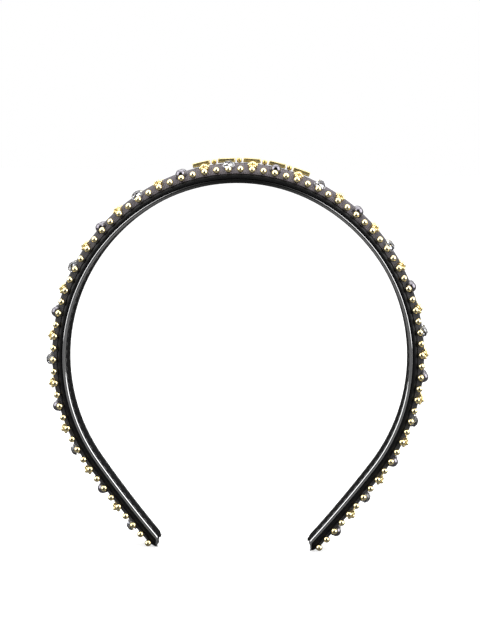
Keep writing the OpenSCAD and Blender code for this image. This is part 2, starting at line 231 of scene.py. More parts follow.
def finish_with(piece, kind, **settings):
    """Adds a modifier and applies it."""
    deselect()
    bpy.context.view_layer.objects.active = piece
    piece.select_set(True)
    modifier = piece.modifiers.new(kind.title(), kind)
    for name, value in settings.items():
        setattr(modifier, name, value)
    bpy.ops.object.modifier_apply(modifier=modifier.name)


def smooth(piece, angle=40):
    deselect()
    bpy.context.view_layer.objects.active = piece
    piece.select_set(True)
    bpy.ops.object.shade_smooth_by_angle(angle=math.radians(angle))


def laid_strip(name, long_steps, wide_steps, lay):
    """A flat strip cut as a grid, each crossing of it then laid where lay(along, across) says.
    Both run from -1 to 1. Its UV map is the flat strip in centimetres."""
    deselect()
    bpy.ops.mesh.primitive_grid_add(x_subdivisions=long_steps, y_subdivisions=wide_steps, size=2)
    strip = named(name)
    flat = {}
    for vertex in strip.data.vertices:
        point, along, across = lay(vertex.co.x, vertex.co.y)
        flat[vertex.index] = (along / 10, across / 10)
        vertex.co = point
    uv = strip.data.uv_layers.active.data
    for loop in strip.data.loops:
        uv[loop.index].uv = flat[loop.vertex_index]
    strip.data.update()
    return strip


def face_outward(strip, direction):
    """Turns a strip over if the face nearest the crown's middle doesn't look in a direction."""
    top = max(strip.data.polygons, key=lambda f: f.center.z)
    if top.normal.z * direction < 0:
        edit(strip, bpy.ops.mesh.flip_normals)


def copies(name, pattern, seats):
    """One piece out of a pattern set at each seat, each copy with its own mesh."""
    made = []
    for place in seats:
        one = bpy.data.objects.new(name, pattern.data.copy())
        bpy.context.scene.collection.objects.link(one)
        one.data.transform(place)
        made.append(one)
    deselect()
    for one in made:
        one.select_set(True)
    bpy.context.view_layer.objects.active = made[0]
    bpy.ops.object.join()
    bpy.data.objects.remove(pattern)
    return named(name)


# ---- Finishes ----


def add(tree, kind, sockets=None, **settings):
    """Puts a node in a tree, with its sockets set or linked."""
    made = tree.nodes.new(kind)
    for name, value in settings.items():
        setattr(made, name, value)
    for name, value in (sockets or {}).items():
        if isinstance(value, bpy.types.NodeSocket):
            tree.links.new(value, made.inputs[name])
        else:
            made.inputs[name].default_value = value
    return made


def sum_of(tree, operation, a, b=0.0):
    return add(tree, "ShaderNodeMath", {0: a, 1: b}, operation=operation).outputs[0]


def between(tree, share, low, high):
    """A value or a colour that goes from low to high with share."""
    colour = isinstance(low, tuple)
    mixed = add(tree, "ShaderNodeMix", data_type="RGBA" if colour else "FLOAT")
    first = 6 if colour else 2
    tree.links.new(share, mixed.inputs[0])
    for slot, value in ((first, low), (first + 1, high)):
        mixed.inputs[slot].default_value = (*value, 1) if colour else value
    return mixed.outputs[2 if colour else 0]


def effect(name, inputs, outputs):
    """An empty shared effect with named inputs and outputs."""
    tree = bpy.data.node_groups.new(name, "ShaderNodeTree")
    for label, kind, start in inputs:
        made = tree.interface.new_socket(label, in_out="INPUT", socket_type=kind)
        if start is not None:
            made.default_value = start
    for label, kind in outputs:
        tree.interface.new_socket(label, in_out="OUTPUT", socket_type=kind)
    return tree, add(tree, "NodeGroupInput"), add(tree, "NodeGroupOutput")


FLOAT, VECTOR = "NodeSocketFloat", "NodeSocketVector"


def make_tarnish():
    """Soft blotches and fine scratches, for metal."""
    tree, given, out = effect(
        "tarnish", [("Point", VECTOR, None), ("Blotch", FLOAT, 400.0), ("Scratch", FLOAT, 6000.0)],
        [("Blotches", FLOAT), ("Scratches", FLOAT)],
    )
    blotches = add(tree, "ShaderNodeTexNoise", {
        "Vector": given.outputs["Point"], "Scale": given.outputs["Blotch"], "Detail": 3.0})
    scratches = add(tree, "ShaderNodeTexNoise", {
        "Vector": given.outputs["Point"], "Scale": given.outputs["Scratch"], "Detail": 2.0})
    tree.links.new(blotches.outputs["Fac"], out.inputs["Blotches"])
    tree.links.new(scratches.outputs["Fac"], out.inputs["Scratches"])
    return tree


def make_grain():
    """Fine leather grain: small cells with soft valleys, and slow waves under them."""
    tree, given, out = effect(
        "leather_grain", [("Point", VECTOR, None), ("Cells", FLOAT, 2200.0)],
        [("Height", FLOAT), ("Valleys", FLOAT)],
    )
    cells = add(tree, "ShaderNodeTexVoronoi", {
        "Vector": given.outputs["Point"], "Scale": given.outputs["Cells"], "Randomness": 0.9},
        feature="SMOOTH_F1")
    waves = add(tree, "ShaderNodeTexNoise", {
        "Vector": given.outputs["Point"], "Scale": 260.0, "Detail": 4.0})
    valleys = add(tree, "ShaderNodeMapRange", {
        "Value": cells.outputs["Distance"], "From Min": 0.15, "From Max": 0.7})
    height = sum_of(tree, "MULTIPLY_ADD", waves.outputs["Fac"], 1.6)
    tree.links.new(sum_of(tree, "SUBTRACT", height, valleys.outputs[0]), out.inputs["Height"])
    tree.links.new(valleys.outputs[0], out.inputs["Valleys"])
    return tree


def make_weave():
    """Ribs across a ribbon and the finer threads along it, from its flat UV map in centimetres."""
    tree, given, out = effect(
        "weave", [("Flat", VECTOR, None), ("Ribs", FLOAT, 14.0), ("Threads", FLOAT, 30.0)],
        [("Height", FLOAT), ("Ribs", FLOAT), ("Slubs", FLOAT)],
    )
    flat = add(tree, "ShaderNodeSeparateXYZ", {0: given.outputs["Flat"]})
    waves = []
    for axis, count in (("X", "Ribs"), ("Y", "Threads")):
        turns = sum_of(tree, "MULTIPLY", flat.outputs[axis], given.outputs[count])
        wave = sum_of(tree, "SINE", sum_of(tree, "MULTIPLY", turns, 2 * math.pi))
        waves.append(sum_of(tree, "MULTIPLY_ADD", wave, 0.5))
        waves[-1].node.inputs[2].default_value = 0.5
    slubs = add(tree, "ShaderNodeTexNoise", {
        "Vector": given.outputs["Flat"], "Scale": 9.0, "Detail": 5.0})
    fine = sum_of(tree, "MULTIPLY", waves[1], 0.45)
    tree.links.new(sum_of(tree, "ADD", waves[0], fine), out.inputs["Height"])
    tree.links.new(waves[0], out.inputs["Ribs"])
    tree.links.new(slubs.outputs["Fac"], out.inputs["Slubs"])
    return tree


TARNISH, GRAIN, WEAVE = make_tarnish(), make_grain(), make_weave()


def finish_of(name, **plain):
    """A new material, its tree, its shader with plain values set, and its object coordinates."""
    made = bpy.data.materials.new(name)
    made.use_nodes = True
    tree = made.node_tree
    shader = tree.nodes["Principled BSDF"]
    for socket, value in plain.items():
        shader.inputs[socket.replace("_", " ")].default_value = value
    place = add(tree, "ShaderNodeTexCoord")
    return made, tree, shader, place


def bumped(tree, shader, height, depth):
    """Feeds a height to the shader's normal; depth is in metres."""
    bump = add(tree, "ShaderNodeBump", {"Strength": 1.0, "Distance": depth, "Height": height})
    tree.links.new(bump.outputs[0], shader.inputs["Normal"])


def shared(tree, group, **sockets):
    made = add(tree, "ShaderNodeGroup", node_tree=group)
    for label, value in sockets.items():
        if isinstance(value, bpy.types.NodeSocket):
            tree.links.new(value, made.inputs[label])
        else:
            made.inputs[label].default_value = value
    return made


def metal(name, light, dark, polish, dull, blotch=400.0, scratch=5000.0, depth=2e-6):
    made, tree, shader, place = finish_of(name, Metallic=1.0)
    worn = shared(tree, TARNISH, Point=place.outputs["Object"], Blotch=blotch, Scratch=scratch)
    blotches = worn.outputs["Blotches"]
    tree.links.new(between(tree, blotches, light, dark), shader.inputs["Base Color"])
    tree.links.new(between(tree, blotches, polish, dull), shader.inputs["Roughness"])
    bumped(tree, shader, worn.outputs["Scratches"], depth)
    return made


def by_height(tree, place, heights, below, above):
    """A value that goes from below to above between two heights over the floor."""
    height = add(tree, "ShaderNodeSeparateXYZ", {0: place.outputs["Object"]}).outputs["Z"]
    return add(tree, "ShaderNodeMapRange", {
        "Value": height, "From Min": heights[0], "From Max": heights[1],
        "To Min": below, "To Max": above,
    }).outputs[0]


GRAIN_DEPTH = 1.2e-5            # metres
PAINTED_RIBBON_SHADE = (0.105, 0.15)   # heights over which the painted shade on the ribbon lifts, up to its full colour
WORN_POLISH = (0.13, 0.142)     # heights over which the rolled edge loses its polish


def leather(name, base, painted_sheen_base, polish, dull, **plain):
    made, tree, shader, place = finish_of(name, **plain)
    grain = shared(tree, GRAIN, Point=place.outputs["Object"])
    valleys = grain.outputs["Valleys"]
    # painted sheen: the tops of the grain cells take the lighter colour, the valleys the darker one
    tree.links.new(between(tree, valleys, painted_sheen_base, base), shader.inputs["Base Color"])
    tree.links.new(between(tree, valleys, polish, dull), shader.inputs["Roughness"])
    bumped(tree, shader, grain.outputs["Height"], GRAIN_DEPTH)
    return made


def cloth(name, light, dark, ribs, threads, rough, depth, sheen, gloss, low=None):
    """A ribbed ribbon. low is the share of its colour that is left down at the sides, where shade
    is painted into it by height.
    """
    made, tree, shader, place = finish_of(
        name, Roughness=rough, Sheen_Weight=sheen, Sheen_Roughness=0.45, Specular_IOR_Level=gloss)
    woven = shared(tree, WEAVE, Flat=place.outputs["UV"], Ribs=ribs, Threads=threads)
    shade = sum_of(tree, "MULTIPLY", woven.outputs["Ribs"], 0.5)
    shade = sum_of(tree, "ADD", shade, sum_of(tree, "MULTIPLY", woven.outputs["Slubs"], 0.5))
    colour = between(tree, shade, dark, light)
    # painted shade: the colour is scaled down to its low share towards the sides of the band, by
    # height over the floor
    if low is not None:
        shaded = add(tree, "ShaderNodeVectorMath", {0: colour}, operation="SCALE")
        left = by_height(tree, place, PAINTED_RIBBON_SHADE, low, 1.0)
        tree.links.new(left, shaded.inputs["Scale"])
        colour = shaded.outputs[0]
    tree.links.new(colour, shader.inputs["Base Color"])
    bumped(tree, shader, woven.outputs["Height"], depth)
    return made


def thread(name, light, dark):
    made, tree, shader, place = finish_of(name, Roughness=0.6, Sheen_Weight=0.3)
    twist = add(tree, "ShaderNodeTexWave", {
        "Vector": place.outputs["Object"], "Scale": 2600.0, "Distortion": 2.0},
        bands_direction="DIAGONAL")
    tree.links.new(between(tree, twist.outputs["Fac"], dark, light), shader.inputs["Base Color"])
    bumped(tree, shader, twist.outputs["Fac"], 2e-5)
    return made


def stone(name, light, dark, metallic):
    """A polished dark stone with slow cloudy veins."""
    made, tree, shader, place = finish_of(
        name, Metallic=metallic, Coat_Weight=0.5, Coat_Roughness=0.03, Coat_IOR=1.6)
    clouds = shared(tree, TARNISH, Point=place.outputs["Object"], Blotch=700.0, Scratch=3000.0)
    veins, haze = clouds.outputs["Blotches"], clouds.outputs["Scratches"]
    tree.links.new(between(tree, veins, light, dark), shader.inputs["Base Color"])
    tree.links.new(between(tree, haze, 0.04, 0.12), shader.inputs["Roughness"])
    return made


def glass(name):
    made, tree, shader, place = finish_of(
        name, Transmission_Weight=1.0, IOR=1.56, Base_Color=(0.93, 0.94, 0.97, 1))
    haze = shared(tree, TARNISH, Point=place.outputs["Object"], Blotch=900.0, Scratch=4000.0)
    tree.links.new(between(tree, haze.outputs["Blotches"], 0.0, 0.06), shader.inputs["Roughness"])
    bumped(tree, shader, haze.outputs["Scratches"], 1e-6)
    return made


def moulded(name, light, dark, rough):
    made, tree, shader, place = finish_of(name)
    mottle = shared(tree, TARNISH, Point=place.outputs["Object"], Blotch=300.0, Scratch=2500.0)
    flow = mottle.outputs["Blotches"]
    tree.links.new(between(tree, flow, light, dark), shader.inputs["Base Color"])
    tree.links.new(between(tree, flow, rough, rough + 0.1), shader.inputs["Roughness"])
    bumped(tree, shader, mottle.outputs["Scratches"], 1e-5)
    return made


# the second colour of each leather is a painted sheen on the grain tops
black_leather = leather(
    "black_leather", (0.003, 0.003, 0.0033), (0.007, 0.007, 0.0074), 0.33, 0.45,
    Specular_IOR_Level=0.2)
polished_edge = leather(
    "polished_leather_edge", (0.003, 0.003, 0.003), (0.006, 0.006, 0.006), 0.25, 0.35,
    Specular_IOR_Level=0.2, Coat_IOR=4.0, Coat_Roughness=0.05)
# the polish is worn off over the top of the head
tree = polished_edge.node_tree
polish = by_height(tree, add(tree, "ShaderNodeTexCoord"), WORN_POLISH, 1.0, 0.0)
tree.links.new(polish, tree.nodes["Principled BSDF"].inputs["Coat Weight"])
# low=0.08 paints shade into the ribbon down the sides of the band
mauve_ribbon = cloth(
    "mauve_grey_ribbon", (0.16, 0.135, 0.152), (0.03, 0.025, 0.03), ribs=16.0, threads=34.0,
    rough=0.55, depth=7e-5, sheen=0.12, gloss=0.2, low=0.08)
black_lining = cloth(
    "black_ribbed_lining", (0.01, 0.01, 0.0105), (0.003, 0.003, 0.003), ribs=11.0, threads=30.0,
    rough=0.8, depth=4e-5, sheen=0.0, gloss=0.02)
lining_thread = thread("lining_thread", (0.12, 0.12, 0.12), (0.03, 0.03, 0.03))
bead_thread = thread("bead_thread", (0.03, 0.03, 0.03), (0.008, 0.008, 0.008))
pale_gold = metal("pale_gold_beads", (0.9, 0.79, 0.47), (0.78, 0.64, 0.32), 0.07, 0.14)
rosette_gold = metal("rosette_gold", (0.9, 0.78, 0.45), (0.72, 0.58, 0.28), 0.1, 0.2)
plate_gold = metal(
    "plate_gold", (0.95, 0.84, 0.44), (0.6, 0.44, 0.16), 0.24, 0.42,
    blotch=300.0, scratch=3500.0, depth=4e-6)
post_brass = metal("post_brass", (0.8, 0.62, 0.3), (0.6, 0.44, 0.2), 0.25, 0.4)
cup_silver = metal("cup_silver", (0.75, 0.75, 0.76), (0.5, 0.5, 0.52), 0.12, 0.25)
cup_dark = metal("cup_gunmetal", (0.22, 0.21, 0.22), (0.12, 0.115, 0.12), 0.2, 0.35)
dark_stone = stone("smoky_black_stone", (0.22, 0.205, 0.235), (0.07, 0.065, 0.075), 1.0)
clear_glass = glass("clear_crystal")
core_plastic = moulded("core_plastic", (0.05, 0.05, 0.05), (0.03, 0.03, 0.03), 0.5)


def dress(piece, finish):
    piece.data.materials.clear()
    piece.data.materials.append(finish)


for node_name, finish in {
    "spring_core": core_plastic,
    "front_edge_beads": pale_gold, "back_edge_beads": pale_gold,
    "front_bead_threads": bead_thread, "back_bead_threads": bead_thread,
    "front_dark_stones": dark_stone, "back_dark_stones": dark_stone,
    "front_dark_cups": cup_dark, "back_dark_cups": cup_dark,
    "front_crystal_cups": cup_silver, "back_crystal_cups": cup_silver,
    "front_rosette_backs": post_brass, "back_rosette_backs": post_brass,
    "front_rosette_petals": rosette_gold, "back_rosette_petals": rosette_gold,
    "front_rosette_centres": pale_gold, "back_rosette_centres": pale_gold,
    "plate_posts": post_brass, "post_washers": cup_silver,
}.items():
    dress(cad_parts[node_name], finish)


def keep(piece, slot, finish, *nodes):
    """A finished piece: its finish, its body and the CAD nodes it stands for. slot is not used."""
    dress(piece, finish)
    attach(piece, "root")
    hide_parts(*nodes)


# ---- Leather cover ----

# Steps of its half outline, from the middle of the dome round to the turned-in edge
DOME_STEPS, SHOULDER_STEPS, WALL_STEPS, ROLL_STEPS, UNDER_STEPS = 9, 7, 3, 12, 5
ROLL_START = DOME_STEPS + SHOULDER_STEPS + WALL_STEPS
POLISHED_STEPS = 7
SHOULDER = 1.0                      # how far in from the side the dome begins
WALL_BULGE = 0.03                   # how far the wall stands out over the rolled edge
EDGE_R = 0.9                        # roundness of the rolled edge beside the lining
EDGE_LOW = 0.12                     # how near that edge comes to the lining's head side
LEAST_WALL, LEAST_ROLLS = 0.45, 2.6  # least wall height at the tips, and in radii of the roll
WALL_FOOT, ROLL_TOP = 2.15, 1.99    # heights over the edge's low side, in radii of the roll
ROLL_FROM, ROLL_ROUND = 80, 205     # where the roll starts and how far it goes round, in degrees
ROLL_SHORT = 35                     # how much less round it goes on the tongue
FIRST_UNDER = 0.05                  # first of the steps under the core, as a share of a step
UNDER_CLEAR = 0.02                  # how far the turned-in hide stays clear of the lining
SKIN_T = 0.36
CLOSING, CLOSED = 7.0, 1.0          # length over which the turned-in edges meet, and end closed
TIP_FULLER = 0.55                   # how much of the tips' rounding the thickness is spared
TONGUE, TONGUE_LIFT = 3.0, 1.2      # length of each tip's tongue, and how far it stands back
NOSE, NOSE_LIFT = 3.2, 2.2          # length and rise of the nose at the end of the tongue
COVER_SHORT = 1.2                   # how far the rounded cover stops short of the arch's end
TIP_CAP, CAP_MIDDLE = 0.3, 0.7      # how far each end bulges, and how high its middle lies
SOFT_WAVES = ((0.05, 0.16), (0.02, 0.6))   # unevenness of the hide: its height, and waves per mm
TIGHT = 0.35                        # share of it left where the dome and the roll pull it tight
PUSHED_OUT = 0.6                    # how much of it goes outwards from the head as well
GATHER, GATHERED_L = 0.05, 22.0     # depth of the gathers, and length of each tip that has them
GATHER_WAVES = (0.9, 3.0, 0.25)     # how fast they change along, across and out from the band
CREASE, CREASE_AT = 0.07, 14.5      # depth of the crease along each tip, and its step
FLAT_STEP = 0.5                     # width of a step on the flat strip


def half_section(turn, shrink=1.0):
    """Half of the cover's outline, from the middle of the dome round to the turned-in edge."""
    # the folded tips stay thicker than they stay wide
    fuller = rounding(turn) ** -TIP_FULLER
    h, w, r = half_width(turn), wall_height(turn) * fuller, rise(turn) * fuller
    near_tip = HALF_LEN - distance_at(turn)
    points = []
    start = h - SHOULDER
    for i in range(DOME_STEPS):
        y = start * i / DOME_STEPS
        points.append((y, w + r * (1 - (y / h) ** 2)))
    first = (start, w + r * (1 - (start / h) ** 2))
    fall = 2 * r * start / h**2
    knee = (h, first[1] - SHOULDER * fall)
    # near the tip the lower edge stands back in a tongue, and then rounds up to the nose
    end = min(1.0, max(0.0, TONGUE - near_tip))
    end = end * end * (3 - 2 * end)
    nose = min(1.0, max(0.0, 1 - (near_tip - COVER_SHORT) / NOSE))
    edge_t = EDGE_LOW + TONGUE_LIFT * end + NOSE_LIFT * (1 - math.sqrt(1 - nose * nose))
    edge_t = min(edge_t, first[1] - LEAST_WALL)
    roll = min(EDGE_R, (first[1] - edge_t) / LEAST_ROLLS)
    low = (h + WALL_BULGE, edge_t + WALL_FOOT * roll)
    for i in range(SHOULDER_STEPS):
        k = i / (SHOULDER_STEPS - 1)
        points.append(tuple(
            (1 - k) ** 2 * first[n] + 2 * k * (1 - k) * knee[n] + k * k * low[n] for n in (0, 1)))
    for i in range(1, WALL_STEPS + 1):
        k = i / (WALL_STEPS + 1)
        points.append((low[0] - WALL_BULGE * k, low[1] + (edge_t + ROLL_TOP * roll - low[1]) * k))
    # the rolled edge curls in beside the lining, and is closed at the tips
    for i in range(ROLL_STEPS):
        a = math.radians(ROLL_FROM - (ROLL_ROUND - ROLL_SHORT * end) * i / (ROLL_STEPS - 1))
        points.append((h - roll + roll * math.cos(a), edge_t + roll * (1 + math.sin(a))))
    edge = points[-1]
    under = max(edge[1], LINING_T + UNDER_CLEAR)
    free = (h - TURN_IN) * min(1.0, max(0.0, (near_tip - CLOSED) / CLOSING)) ** 0.5
    for i in range(UNDER_STEPS):
        share = (i + FIRST_UNDER) / (UNDER_STEPS - 1 + FIRST_UNDER)
        points.append((edge[0] + (free - edge[0]) * share, under))
    middle = edge_t + CAP_MIDDLE * (w + r - edge_t)
    return [(y * shrink, middle + (t - middle) * shrink) for y, t in points]


SECTION_STEPS = len(half_section(0.0)) - 1
WIDE_STEPS = 2 * SECTION_STEPS
COVER_HALF = HALF_LEN - COVER_SHORT
COVER_STEPS = 118                   # rings from the crown to where they come closer together
CLOSE_L, CLOSE_STEPS = 7.0, 12
CAP_STEPS, CAP_ROUND = 7, 88.5      # rings of each closed end, and how far round they go in degrees


def cover_stations():
    """Distances along the band and how far each ring is drawn in, closer together at the tips."""
    straight = COVER_HALF - CLOSE_L
    half = [(straight * i / COVER_STEPS, 1.0) for i in range(1, COVER_STEPS + 1)]
    for i in range(1, CLOSE_STEPS + 1):
        half.append((straight + CLOSE_L * math.sin(math.radians(90 * i / CLOSE_STEPS)), 1.0))
    for i in range(1, CAP_STEPS + 1):
        past = TIP_CAP * math.sin(math.radians(90 * i / CAP_STEPS))
        half.append((COVER_HALF + past, math.cos(math.radians(CAP_ROUND * i / CAP_STEPS))))
    return [(-d, s) for d, s in reversed(half)] + [(0.0, 1.0)] + half


STATIONS = cover_stations()
SECTIONS = {}


def cover_point(along, across):
    number = round((along + 1) / 2 * (len(STATIONS) - 1))
    place = round((across + 1) / 2 * WIDE_STEPS)
    distance, shrink = STATIONS[number]
    turn = turn_at(distance)
    if number not in SECTIONS:
        ring_turn = turn_at(max(-COVER_HALF, min(COVER_HALF, distance)))
        SECTIONS[number] = half_section(ring_turn, shrink)
    section = SECTIONS[number]
    step = abs(place - SECTION_STEPS)
    y, t = section[step]
    side = -1 if place < SECTION_STEPS else 1
    # soft unevenness of hide drawn over foam, and gathers where it is folded at the tips
    here = Vector((distance, side * y, t))
    if step >= ROLL_START:
        loose = 0.0
    else:
        loose = 1.0 if DOME_STEPS <= step <= ROLL_START - 2 else TIGHT
    soft = loose * sum(height * noise.noise(here * waves) for height, waves in SOFT_WAVES)
    tip = max(0.0, 1 - (HALF_LEN - abs(distance)) / GATHERED_L)
    along_waves, across_waves, out_waves = GATHER_WAVES
    folds = noise.noise(Vector((distance * along_waves, side * across_waves, t * out_waves)))
    gather = GATHER * tip * loose * folds
    crease = -CREASE * tip * max(0.0, 1 - abs(step - CREASE_AT) / 2)
    share = y / half_width(turn_at(min(COVER_HALF, abs(distance))))
    y += (soft + gather + crease) * share
    point = on_band(turn, side * y, t + (soft + gather) * PUSHED_OUT)
    point.z = max(point.z, 0.0)
    return point, distance, side * step * FLAT_STEP


cover = laid_strip("leather_cover", len(STATIONS) - 1, WIDE_STEPS, cover_point)
face_outward(cover, 1)
finish_with(cover, "SOLIDIFY", thickness=SKIN_T * MM, offset=-1, use_even_offset=False)
# it stands flat on the floor
for vertex in cover.data.vertices:
    vertex.co.z = max(vertex.co.z, 0.0)
edit(cover, lambda: bpy.ops.mesh.remove_doubles(threshold=1e-6), outsides_out)
smooth(cover, 60)
keep(
    cover, "black_leather", black_leather,
    "leather_wrap", "left_tip_fold", "right_tip_fold", "foam_pad")
cover.data.materials.append(polished_edge)
flat_map = cover.data.uv_layers.active.data
for face in cover.data.polygons:
    steps = [abs(flat_map[loop].uv.y) * 10 / FLAT_STEP for loop in face.loop_indices]
    if ROLL_START - 0.5 < min(steps) and max(steps) < ROLL_START + POLISHED_STEPS + 0.5:
        face.material_index = 1

# ---- Bead ribbon ----

RIBBON_LONG, RIBBON_WIDE = 420, 28
WOVEN_T = 0.24
RIBBON_HALF = HALF_LEN - RIBBON_END_GAP
SELVEDGE, SELVEDGE_FROM = 0.028, 0.9    # its height, and the share of the width where it begins
RIPPLE, RIPPLE_ALONG, RIPPLE_ACROSS = 0.035, 0.45, 0.5      # its height, and waves per mm
PRESSED = 0.04                          # how far the ribbon is pressed into the padding


def ribbon_point(along, across):
    distance = along * RIBBON_HALF
    turn = turn_at(distance)
    y = across * (half_width(turn) - RIBBON_EDGE) * rounding(turn, RIBBON_END_GAP)
    edge = SELVEDGE * max(0.0, (abs(across) - SELVEDGE_FROM) / (1 - SELVEDGE_FROM))
    ripple = RIPPLE * noise.noise(Vector((distance * RIPPLE_ALONG, y * RIPPLE_ACROSS, 3.0)))
    return on_band(turn, y, ribbon_top(turn, y) - PRESSED + edge + ripple), distance, y


ribbon = laid_strip("mauve_bead_ribbon", RIBBON_LONG, RIBBON_WIDE, ribbon_point)
face_outward(ribbon, 1)
finish_with(ribbon, "SOLIDIFY", thickness=WOVEN_T * MM, offset=-1)
edit(ribbon, outsides_out)
smooth(ribbon, 50)
keep(ribbon, "grey_ribbon", mauve_ribbon, "bead_ribbon")

# ---- Ribbed lining ----

RIB_PITCH, RIB_H, RIB_SAMPLES = 0.92, 0.05, 4
LINING_HALF = HALF_LEN - LINING_END_GAP
LINING_LONG = 2 * round(LINING_HALF / RIB_PITCH * RIB_SAMPLES)
LINING_WIDE = 12
GROSGRAIN_T = 0.2
LAID_AT = 0.32                      # how far out from its head side the lining lies
EDGE_SUNK, EDGE_FROM = 0.1, 0.82    # how far its stitched edges sink, and where they begin
FOLD, FOLD_L = 0.22, 6.0            # how far the folded ends stand up, and over what length


def lining_half_width(turn):
    return (half_width(turn) - LINING_MARGIN) * rounding(turn, LINING_END_GAP)


def lining_point(along, across):
    distance = along * LINING_HALF
    turn = turn_at(distance)
    y = across * lining_half_width(turn)
    rib = RIB_H * 0.5 * (1 + math.cos(2 * math.pi * distance / RIB_PITCH))
    edge = EDGE_SUNK * max(0.0, (abs(across) - EDGE_FROM) / (1 - EDGE_FROM)) ** 2
    folded = FOLD * max(0.0, 1 - (LINING_HALF - abs(distance)) / FOLD_L)
    return on_band(turn, y, LAID_AT - rib + edge - folded), distance, y


lining = laid_strip("ribbed_lining", LINING_LONG, LINING_WIDE, lining_point)
face_outward(lining, -1)
finish_with(lining, "SOLIDIFY", thickness=GROSGRAIN_T * MM, offset=-1)
edit(lining, outsides_out)
smooth(lining, 70)
keep(lining, "ribbed_lining", black_lining, "lining_ribbon")

# ---- Lining stitches ----

STITCH_SLANT, STITCH_AT = 9, 0.2    # degrees, and how far out from the lining's head side
STITCH_WAIST, STITCH_DIP = 0.45, 0.16


def make_stitch():
    """One stitch: a short twisted thread that dips into the cloth at both ends."""
    deselect()
    bpy.ops.mesh.primitive_cylinder_add(
        vertices=6, radius=STITCH_D / 2, depth=STITCH_L, rotation=(0, math.pi / 2, 0))
    stitch = named("stitch")
    bpy.ops.object.transform_apply(rotation=True)
    for cut in (0, -0.8, -0.5, 0.5, 0.8):
        edit(stitch, lambda: bpy.ops.mesh.bisect(
            plane_co=(cut * STITCH_L / 2, 0, 0), plane_no=(1, 0, 0)))
    for vertex in stitch.data.vertices:
        share = abs(vertex.co.x) / (STITCH_L / 2)
        waist = 1 - STITCH_WAIST * share**4
        vertex.co.y *= waist
        vertex.co.z = vertex.co.z * waist + STITCH_DIP * share**3
    return stitch


def stitch_seats(side):
    count = math.floor((HALF_LEN - LINING_END_GAP - STITCH_PITCH) / STITCH_PITCH)
    for i in range(-count, count + 1):
        turn = turn_at(i * STITCH_PITCH)
        slant = Matrix.Rotation(math.radians(side * STITCH_SLANT), 4, "Z")
        yield seat(turn, side * (lining_half_width(turn) - STITCH_INSET), STITCH_AT) @ slant


for side, word in ((FRONT, "front"), (BACK, "back")):
    stitches = copies(f"{word}_lining_threads", make_stitch(), stitch_seats(side))
    edit(stitches, outsides_out)
    smooth(stitches, 60)
    keep(stitches, "lining_thread", lining_thread, f"{word}_lining_stitches")

# ---- Crystals ----

CRYSTAL_L, CRYSTAL_END = 1.84, 0.62     # its length and the roundness of its ends, in stone radii
WAIST_AT, WAIST_R = 0.36, 0.64          # where the widest rings lie, and the ends' share of them
FACET_TURN = 22.5


def make_crystal():
    """A faceted crystal lying along the band: a barrel of flat facets with cut ends."""
    deselect()
    r = STONE_D / 2
    bpy.ops.mesh.primitive_cylinder_add(
        vertices=8, radius=CRYSTAL_END * r, depth=CRYSTAL_L * r, rotation=(0, math.pi / 2, 0))
    crystal = named("crystal")
    bpy.ops.object.transform_apply(rotation=True)
    for cut in (-WAIST_AT, WAIST_AT):
        edit(crystal, lambda: bpy.ops.mesh.bisect(plane_co=(cut * r, 0, 0), plane_no=(1, 0, 0)))
    for vertex in crystal.data.vertices:
        if abs(vertex.co.x) < 0.5 * r:
            vertex.co.y *= 1 / WAIST_R
            vertex.co.z *= 1 / WAIST_R
            spin = math.radians(FACET_TURN if vertex.co.x > 0 else 0)
            y, z = vertex.co.y, vertex.co.z
            vertex.co.y = y * math.cos(spin) - z * math.sin(spin)
            vertex.co.z = y * math.sin(spin) + z * math.cos(spin)
    edit(
        crystal,
        lambda: bpy.ops.mesh.quads_convert_to_tris(quad_method="SHORTEST_DIAGONAL"),
        lambda: bpy.ops.mesh.bisect(
            plane_co=(0, 0, LAYER_GAP - STONE_LIFT), plane_no=(0, 0, -1),
            use_fill=True, clear_outer=True),
        outsides_out,
    )
    for vertex in crystal.data.vertices:
        vertex.co.z += STONE_LIFT
    return crystal


# one stands behind every eighth bead
for side, word in ((FRONT, "front"), (BACK, "back")):
    seats = [behind_bead(side, i) for i in range(FIRST_BEAD + 2, LAST_BEAD - 1) if i % 8 == 7]
    crystals = copies(f"{word}_faceted_crystals", make_crystal(), seats)
    keep(crystals, "crystal", clear_glass, f"{word}_crystals")

# ---- Plates and studs along the crown ----

PLATE_PITCH = PLATE_L + STUD_D + 2 * PLATE_GAP
PLATE_LEANS = (-1.6, 1.2, -0.6, 1.8, -1.0)     # none was set quite straight
STUD_LEANS = (2.0, -3.0, 1.5, -2.0)
PLATE_BEVEL, PLATE_RIM = 0.28, 0.42
PANEL_DEEP, PANEL_SLOPE = 0.16, 0.14
STUD_WALL, STUD_CROWN = 0.8, 0.12       # shares of the thickness, up to the rolled edge
STUD_BEVEL, STUD_RIM, STUD_DOME = 0.05, 0.12, 0.3
LOOKS_UP = 0.99                         # how nearly upright the normal of a top face is


def crown_seats(numbers, leans):
    for number, lean in zip(numbers, leans):
        turn = turn_at(PLATE_SHIFT + number * PLATE_PITCH, ribbon_top(0, 0) + PLATE_LIFT)
        leaning = Matrix.Rotation(math.radians(lean), 4, "Y")
        yield seat(turn, 0, ribbon_top(turn, 0) + PLATE_LIFT) @ leaning


def top_faces(piece):
    """Selects only the faces that look up, for the next edit."""
    deselect()
    bpy.context.view_layer.objects.active = piece
    bpy.ops.object.mode_set(mode="EDIT")
    bpy.ops.mesh.select_all(action="DESELECT")
    bpy.ops.object.mode_set(mode="OBJECT")
    for face in piece.data.polygons:
        face.select = face.normal.z > LOOKS_UP
    piece.select_set(True)
    bpy.ops.object.mode_set(mode="EDIT")


